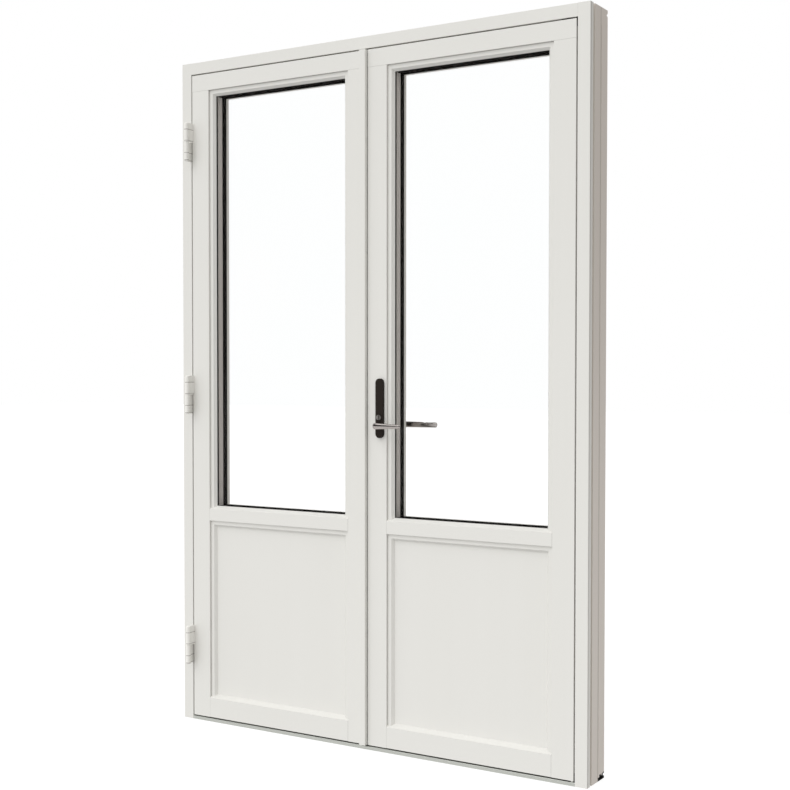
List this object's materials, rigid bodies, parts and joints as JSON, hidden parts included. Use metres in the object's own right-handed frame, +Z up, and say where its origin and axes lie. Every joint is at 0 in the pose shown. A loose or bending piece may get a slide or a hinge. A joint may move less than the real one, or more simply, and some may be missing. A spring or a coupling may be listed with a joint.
{
  "type": "french doors",
  "caption": "Pair of inward-opening glazed doors with lower panels, in a timber frame with a metal outer face, low threshold, lever handle and bolts.",
  "frame": {"origin": "middle of the frame's underside: middle of its width and of its depth", "axes": "+X across the doors from the left leaf to the right leaf, +Y from the room to the outside, +Z up"},
  "size_m": [1.39, 0.176, 2.09],
  "materials": {
    "painted_wood": "off-white satin paint",
    "coated_metal": "off-white powder coat",
    "painted_hinge": "off-white powder coat",
    "anodised_metal": "natural anodised",
    "black_composite": "matt black",
    "seal_rubber": "matt black",
    "clear_glass": "clear polished",
    "spacer_metal": "matt grey",
    "black_metal": "satin black",
    "handle_steel": "satin",
    "fitting_steel": "zinc plated"
  },
  "bodies": {
    "frame": {"jamb_left": "painted_wood", "jamb_right": "painted_wood", "head": "painted_wood", "outer_jamb_left": "coated_metal", "outer_jamb_right": "coated_metal", "outer_head": "coated_metal", "threshold_plate": "anodised_metal", "threshold_core": "black_composite", "frame_seal": "seal_rubber", "fixing_sleeves": "fitting_steel", "rod_strikes": "fitting_steel", "hinge_frame_halves": "painted_hinge", "hinge_pins": "fitting_steel", "frame_hinge_screws": "fitting_steel", "pivot_brackets": "fitting_steel"},
    "left_leaf": {"left_hinge_stile": "painted_wood", "left_meeting_stile": "painted_wood", "left_top_rail": "painted_wood", "left_mid_rail": "painted_wood", "left_bottom_rail": "painted_wood", "left_panel": "painted_wood", "left_beads": "painted_wood", "left_panes": "clear_glass", "left_spacer": "spacer_metal", "left_gaskets": "seal_rubber", "left_cladding": "coated_metal", "left_weatherboard": "coated_metal", "cover_strip": "painted_wood", "meeting_seal": "seal_rubber", "hinge_leaf_halves": "painted_hinge", "leaf_hinge_screws": "fitting_steel", "bolt_strike": "fitting_steel"},
    "right_leaf": {"right_hinge_stile": "painted_wood", "right_meeting_stile": "painted_wood", "right_top_rail": "painted_wood", "right_mid_rail": "painted_wood", "right_bottom_rail": "painted_wood", "right_panel": "painted_wood", "right_beads": "painted_wood", "right_panes": "clear_glass", "right_spacer": "spacer_metal", "right_gaskets": "seal_rubber", "right_cladding": "coated_metal", "right_weatherboard": "coated_metal", "lock_case": "fitting_steel", "face_plate": "anodised_metal", "inner_back_plate": "black_metal", "outer_back_plate": "black_metal", "plate_bolts": "fitting_steel", "pivot_shoes": "fitting_steel"},
    "lever_set": {"inner_lever": "handle_steel", "outer_lever": "handle_steel", "spindle": "fitting_steel", "follower": "fitting_steel"},
    "top_rod": {"rod_top": "fitting_steel"},
    "bottom_rod": {"rod_bottom": "fitting_steel"},
    "bolt": {"centre_bolt": "fitting_steel"},
    "turn": {"thumb_turn": "handle_steel"},
    "left_top_bolt": {"flush_bolt_top": "fitting_steel"},
    "left_bottom_bolt": {"flush_bolt_bottom": "fitting_steel"}
  },
  "joints": [
    {"name": "left_leaf_hinge", "type": "hinge", "parent": "frame", "child": "left_leaf", "pos_m": [-0.657, -0.085, 1.04], "axis": [0, 0, -1], "range_deg": [0, 170]},
    {"name": "right_leaf_hinge", "type": "hinge", "parent": "frame", "child": "right_leaf", "pos_m": [0.649, -0.051, 1.03], "axis": [0, 0, 1], "range_deg": [0, 95]},
    {"name": "lever_lift", "type": "hinge", "parent": "right_leaf", "child": "lever_set", "pos_m": [0.047, 0, 0.957], "axis": [0, -1, 0], "range_deg": [0, 45]},
    {"name": "top_rod_slide", "type": "slide", "parent": "right_leaf", "child": "top_rod", "axis": [0, 0, 1], "range_m": [0, 0.013]},
    {"name": "bottom_rod_slide", "type": "slide", "parent": "right_leaf", "child": "bottom_rod", "axis": [0, 0, -1], "range_m": [0, 0.013]},
    {"name": "centre_bolt_slide", "type": "slide", "parent": "right_leaf", "child": "bolt", "axis": [-1, 0, 0], "range_m": [0, 0.02]},
    {"name": "thumb_turn_rotate", "type": "hinge", "parent": "right_leaf", "child": "turn", "pos_m": [0.047, -0.068, 0.981], "axis": [0, -1, 0], "range_deg": [0, 90]},
    {"name": "left_top_bolt_slide", "type": "slide", "parent": "left_leaf", "child": "left_top_bolt", "axis": [0, 0, 1], "range_m": [0, 0.013]},
    {"name": "left_bottom_bolt_slide", "type": "slide", "parent": "left_leaf", "child": "left_bottom_bolt", "axis": [0, 0, -1], "range_m": [0, 0.013]}
  ],
  "couplings": [
    {"joint": "top_rod_slide", "follows": "lever_lift", "m_per_rad": 0.01655},
    {"joint": "bottom_rod_slide", "follows": "lever_lift", "m_per_rad": 0.01655},
    {"joint": "centre_bolt_slide", "follows": "lever_lift", "m_per_rad": 0.02546}
  ]
}
